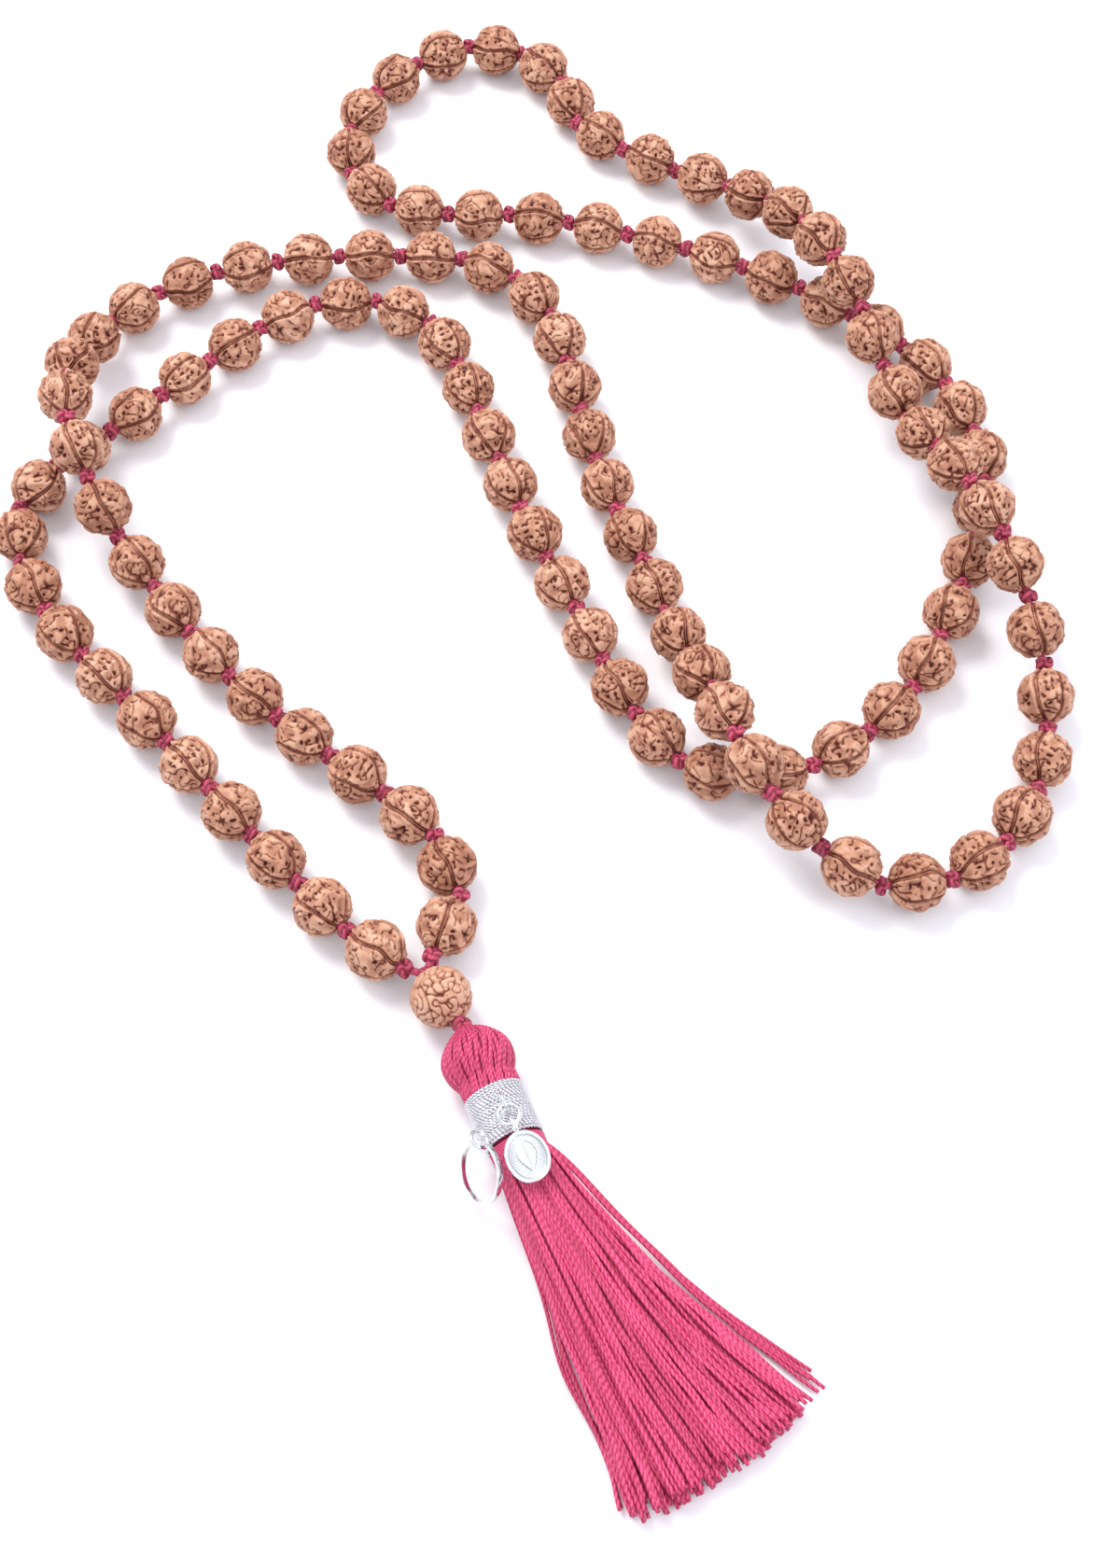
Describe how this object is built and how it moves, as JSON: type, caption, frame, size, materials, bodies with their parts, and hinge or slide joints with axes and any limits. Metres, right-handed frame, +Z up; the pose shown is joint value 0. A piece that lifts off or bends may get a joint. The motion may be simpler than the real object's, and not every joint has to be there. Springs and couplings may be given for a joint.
{
  "type": "mala prayer beads",
  "caption": "Knotted strand of carved seed prayer beads in a loose double loop, with a guru bead, a silk tassel bound in silver thread, a small oval charm and a plain hoop.",
  "frame": {"origin": "on the table under the centre of the guru bead", "axes": "+Z up from the table, +Y from the guru bead along the length of the laid-out strand, the tassel towards -Y"},
  "size_m": [0.1461, 0.2313, 0.0168],
  "materials": {
    "seed": "carved seed, satin",
    "cord": "twisted silk cord",
    "silk": "silk thread with a soft sheen",
    "silver": "polished silver"
  },
  "bodies": {
    "strand": {"cord": "cord", "knots": "cord", "cord_ends": "cord", "guru_bead": "seed", "beads_021_037": "seed", "beads_038_054": "seed", "beads_055_071": "seed", "beads_072_088": "seed"},
    "bead_001": {"bead_001": "seed"},
    "bead_002": {"bead_002": "seed"},
    "bead_003": {"bead_003": "seed"},
    "bead_004": {"bead_004": "seed"},
    "bead_005": {"bead_005": "seed"},
    "bead_006": {"bead_006": "seed"},
    "bead_007": {"bead_007": "seed"},
    "bead_008": {"bead_008": "seed"},
    "bead_009": {"bead_009": "seed"},
    "bead_010": {"bead_010": "seed"},
    "bead_011": {"bead_011": "seed"},
    "bead_012": {"bead_012": "seed"},
    "bead_013": {"bead_013": "seed"},
    "bead_014": {"bead_014": "seed"},
    "bead_015": {"bead_015": "seed"},
    "bead_016": {"bead_016": "seed"},
    "bead_017": {"bead_017": "seed"},
    "bead_018": {"bead_018": "seed"},
    "bead_019": {"bead_019": "seed"},
    "bead_020": {"bead_020": "seed"},
    "bead_089": {"bead_089": "seed"},
    "bead_090": {"bead_090": "seed"},
    "bead_091": {"bead_091": "seed"},
    "bead_092": {"bead_092": "seed"},
    "bead_093": {"bead_093": "seed"},
    "bead_094": {"bead_094": "seed"},
    "bead_095": {"bead_095": "seed"},
    "bead_096": {"bead_096": "seed"},
    "bead_097": {"bead_097": "seed"},
    "bead_098": {"bead_098": "seed"},
    "bead_099": {"bead_099": "seed"},
    "bead_100": {"bead_100": "seed"},
    "bead_101": {"bead_101": "seed"},
    "bead_102": {"bead_102": "seed"},
    "bead_103": {"bead_103": "seed"},
    "bead_104": {"bead_104": "seed"},
    "bead_105": {"bead_105": "seed"},
    "bead_106": {"bead_106": "seed"},
    "bead_107": {"bead_107": "seed"},
    "bead_108": {"bead_108": "seed"},
    "tie": {"tassel_tie": "cord"},
    "tassel": {"tassel_head": "silk", "silver_wrap": "silver", "thread_binding": "silk", "tassel_skirt": "silk", "charm_eyelet": "silver", "hoop_eyelet": "silver"},
    "jump_ring": {"jump_ring": "silver"},
    "charm": {"charm": "silver"},
    "hoop": {"hoop": "silver"}
  },
  "joints": [
    {"name": "tassel_swing", "type": "hinge", "parent": "strand", "child": "tie", "pos_m": [0.00257, -0.00381, 0.004], "axis": [0, 0, 1], "range_deg": [-30, 30]},
    {"name": "tassel_lift", "type": "hinge", "parent": "tie", "child": "tassel", "pos_m": [0.00257, -0.00381, 0.004], "axis": [-0.9135, -0.4067, 0], "range_deg": [0, 40]},
    {"name": "ring_lift", "type": "hinge", "parent": "tassel", "child": "jump_ring", "pos_m": [0.00808, -0.01618, 0.00954], "axis": [-0.9135, -0.4067, 0], "range_deg": [0, 60]},
    {"name": "charm_lift", "type": "hinge", "parent": "jump_ring", "child": "charm", "pos_m": [0.0091, -0.01846, 0.00954], "axis": [-0.9135, -0.4067, 0], "range_deg": [0, 70]},
    {"name": "hoop_lift", "type": "hinge", "parent": "tassel", "child": "hoop", "pos_m": [0.00524, -0.0197, 0.00702], "axis": [-0.6318, 0.3877, -0.6713], "range_deg": [0, 50]},
    {"name": "spin_001", "type": "hinge", "parent": "strand", "child": "bead_001", "pos_m": [0.0004, 0.00964, 0.004], "axis": [0.3563, 0.9344, 0], "continuous": true},
    {"name": "spin_002", "type": "hinge", "parent": "strand", "child": "bead_002", "pos_m": [0.00028, 0.01809, 0.004], "axis": [-0.3831, 0.9237, 0], "continuous": true},
    {"name": "spin_003", "type": "hinge", "parent": "strand", "child": "bead_003", "pos_m": [-0.00474, 0.02546, 0.004], "axis": [-0.7188, 0.6952, 0], "continuous": true},
    {"name": "spin_004", "type": "hinge", "parent": "strand", "child": "bead_004", "pos_m": [-0.01166, 0.03144, 0.004], "axis": [-0.792, 0.6105, 0], "continuous": true},
    {"name": "spin_005", "type": "hinge", "parent": "strand", "child": "bead_005", "pos_m": [-0.01885, 0.03718, 0.004], "axis": [-0.7706, 0.6373, 0], "continuous": true},
    {"name": "spin_006", "type": "hinge", "parent": "strand", "child": "bead_006", "pos_m": [-0.02574, 0.04326, 0.004], "axis": [-0.7282, 0.6853, 0], "continuous": true},
    {"name": "spin_007", "type": "hinge", "parent": "strand", "child": "bead_007", "pos_m": [-0.03206, 0.04992, 0.004], "axis": [-0.6458, 0.7635, 0], "continuous": true},
    {"name": "spin_008", "type": "hinge", "parent": "strand", "child": "bead_008", "pos_m": [-0.03778, 0.05712, 0.004], "axis": [-0.5977, 0.8017, 0], "continuous": true},
    {"name": "spin_009", "type": "hinge", "parent": "strand", "child": "bead_009", "pos_m": [-0.04317, 0.06441, 0.0049], "axis": [-0.5806, 0.7901, 0.1968], "continuous": true},
    {"name": "spin_010", "type": "hinge", "parent": "strand", "child": "bead_010", "pos_m": [-0.04798, 0.07145, 0.00793], "axis": [-0.4707, 0.7501, 0.4644], "continuous": true},
    {"name": "spin_011", "type": "hinge", "parent": "strand", "child": "bead_011", "pos_m": [-0.05173, 0.0789, 0.01157], "axis": [-0.3476, 0.8771, 0.3315], "continuous": true},
    {"name": "spin_012", "type": "hinge", "parent": "strand", "child": "bead_012", "pos_m": [-0.0541, 0.08729, 0.01225], "axis": [-0.173, 0.9677, -0.1834], "continuous": true},
    {"name": "spin_013", "type": "hinge", "parent": "strand", "child": "bead_013", "pos_m": [-0.05472, 0.09573, 0.00928], "axis": [0.0365, 0.8835, -0.467], "continuous": true},
    {"name": "spin_014", "type": "hinge", "parent": "strand", "child": "bead_014", "pos_m": [-0.05306, 0.1038, 0.00564], "axis": [0.3273, 0.886, -0.3284], "continuous": true},
    {"name": "spin_015", "type": "hinge", "parent": "strand", "child": "bead_015", "pos_m": [-0.04824, 0.11094, 0.00408], "axis": [0.7306, 0.6826, -0.017], "continuous": true},
    {"name": "spin_016", "type": "hinge", "parent": "strand", "child": "bead_016", "pos_m": [-0.04077, 0.11603, 0.004], "axis": [0.903, 0.4296, 0], "continuous": true},
    {"name": "spin_017", "type": "hinge", "parent": "strand", "child": "bead_017", "pos_m": [-0.03217, 0.11912, 0.004], "axis": [0.9697, 0.2441, 0], "continuous": true},
    {"name": "spin_018", "type": "hinge", "parent": "strand", "child": "bead_018", "pos_m": [-0.02314, 0.12074, 0.004], "axis": [0.994, 0.1094, 0], "continuous": true},
    {"name": "spin_019", "type": "hinge", "parent": "strand", "child": "bead_019", "pos_m": [-0.01397, 0.12134, 0.004], "axis": [0.9998, 0.02, 0], "continuous": true},
    {"name": "spin_020", "type": "hinge", "parent": "strand", "child": "bead_020", "pos_m": [-0.00479, 0.12112, 0.004], "axis": [0.9977, -0.0675, 0], "continuous": true},
    {"name": "spin_089", "type": "hinge", "parent": "strand", "child": "bead_089", "pos_m": [0.0013, 0.09574, 0.004], "axis": [-0.3318, 0.9433, 0], "continuous": true},
    {"name": "spin_090", "type": "hinge", "parent": "strand", "child": "bead_090", "pos_m": [-0.00236, 0.1041, 0.004], "axis": [-0.4695, 0.8829, 0], "continuous": true},
    {"name": "spin_091", "type": "hinge", "parent": "strand", "child": "bead_091", "pos_m": [-0.00852, 0.11022, 0.004], "axis": [-0.8863, 0.4632, 0], "continuous": true},
    {"name": "spin_092", "type": "hinge", "parent": "strand", "child": "bead_092", "pos_m": [-0.01705, 0.11196, 0.004], "axis": [-0.9968, -0.0794, 0], "continuous": true},
    {"name": "spin_093", "type": "hinge", "parent": "strand", "child": "bead_093", "pos_m": [-0.02551, 0.10929, 0.004], "axis": [-0.8635, -0.5043, 0], "continuous": true},
    {"name": "spin_094", "type": "hinge", "parent": "strand", "child": "bead_094", "pos_m": [-0.03289, 0.10391, 0.004], "axis": [-0.7439, -0.6683, 0], "continuous": true},
    {"name": "spin_095", "type": "hinge", "parent": "strand", "child": "bead_095", "pos_m": [-0.03959, 0.09761, 0.004], "axis": [-0.7126, -0.7016, 0], "continuous": true},
    {"name": "spin_096", "type": "hinge", "parent": "strand", "child": "bead_096", "pos_m": [-0.0461, 0.09112, 0.004], "axis": [-0.7042, -0.71, 0], "continuous": true},
    {"name": "spin_097", "type": "hinge", "parent": "strand", "child": "bead_097", "pos_m": [-0.05281, 0.08483, 0.004], "axis": [-0.7545, -0.6563, 0], "continuous": true},
    {"name": "spin_098", "type": "hinge", "parent": "strand", "child": "bead_098", "pos_m": [-0.05843, 0.07793, 0.004], "axis": [-0.4847, -0.8747, 0], "continuous": true},
    {"name": "spin_099", "type": "hinge", "parent": "strand", "child": "bead_099", "pos_m": [-0.05992, 0.06952, 0.004], "axis": [0.1449, -0.9894, 0], "continuous": true},
    {"name": "spin_100", "type": "hinge", "parent": "strand", "child": "bead_100", "pos_m": [-0.05706, 0.06098, 0.004], "axis": [0.48, -0.8773, 0], "continuous": true},
    {"name": "spin_101", "type": "hinge", "parent": "strand", "child": "bead_101", "pos_m": [-0.05198, 0.05338, 0.004], "axis": [0.6268, -0.7791, 0], "continuous": true},
    {"name": "spin_102", "type": "hinge", "parent": "strand", "child": "bead_102", "pos_m": [-0.04595, 0.04645, 0.004], "axis": [0.6846, -0.729, 0], "continuous": true},
    {"name": "spin_103", "type": "hinge", "parent": "strand", "child": "bead_103", "pos_m": [-0.03969, 0.03971, 0.004], "axis": [0.6764, -0.7365, 0], "continuous": true},
    {"name": "spin_104", "type": "hinge", "parent": "strand", "child": "bead_104", "pos_m": [-0.03357, 0.03285, 0.004], "axis": [0.6558, -0.755, 0], "continuous": true},
    {"name": "spin_105", "type": "hinge", "parent": "strand", "child": "bead_105", "pos_m": [-0.02751, 0.02592, 0.004], "axis": [0.6596, -0.7516, 0], "continuous": true},
    {"name": "spin_106", "type": "hinge", "parent": "strand", "child": "bead_106", "pos_m": [-0.02141, 0.01904, 0.004], "axis": [0.6686, -0.7436, 0], "continuous": true},
    {"name": "spin_107", "type": "hinge", "parent": "strand", "child": "bead_107", "pos_m": [-0.01517, 0.01228, 0.004], "axis": [0.6871, -0.7266, 0], "continuous": true},
    {"name": "spin_108", "type": "hinge", "parent": "strand", "child": "bead_108", "pos_m": [-0.00824, 0.00635, 0.004], "axis": [0.8244, -0.566, 0], "continuous": true}
  ]
}
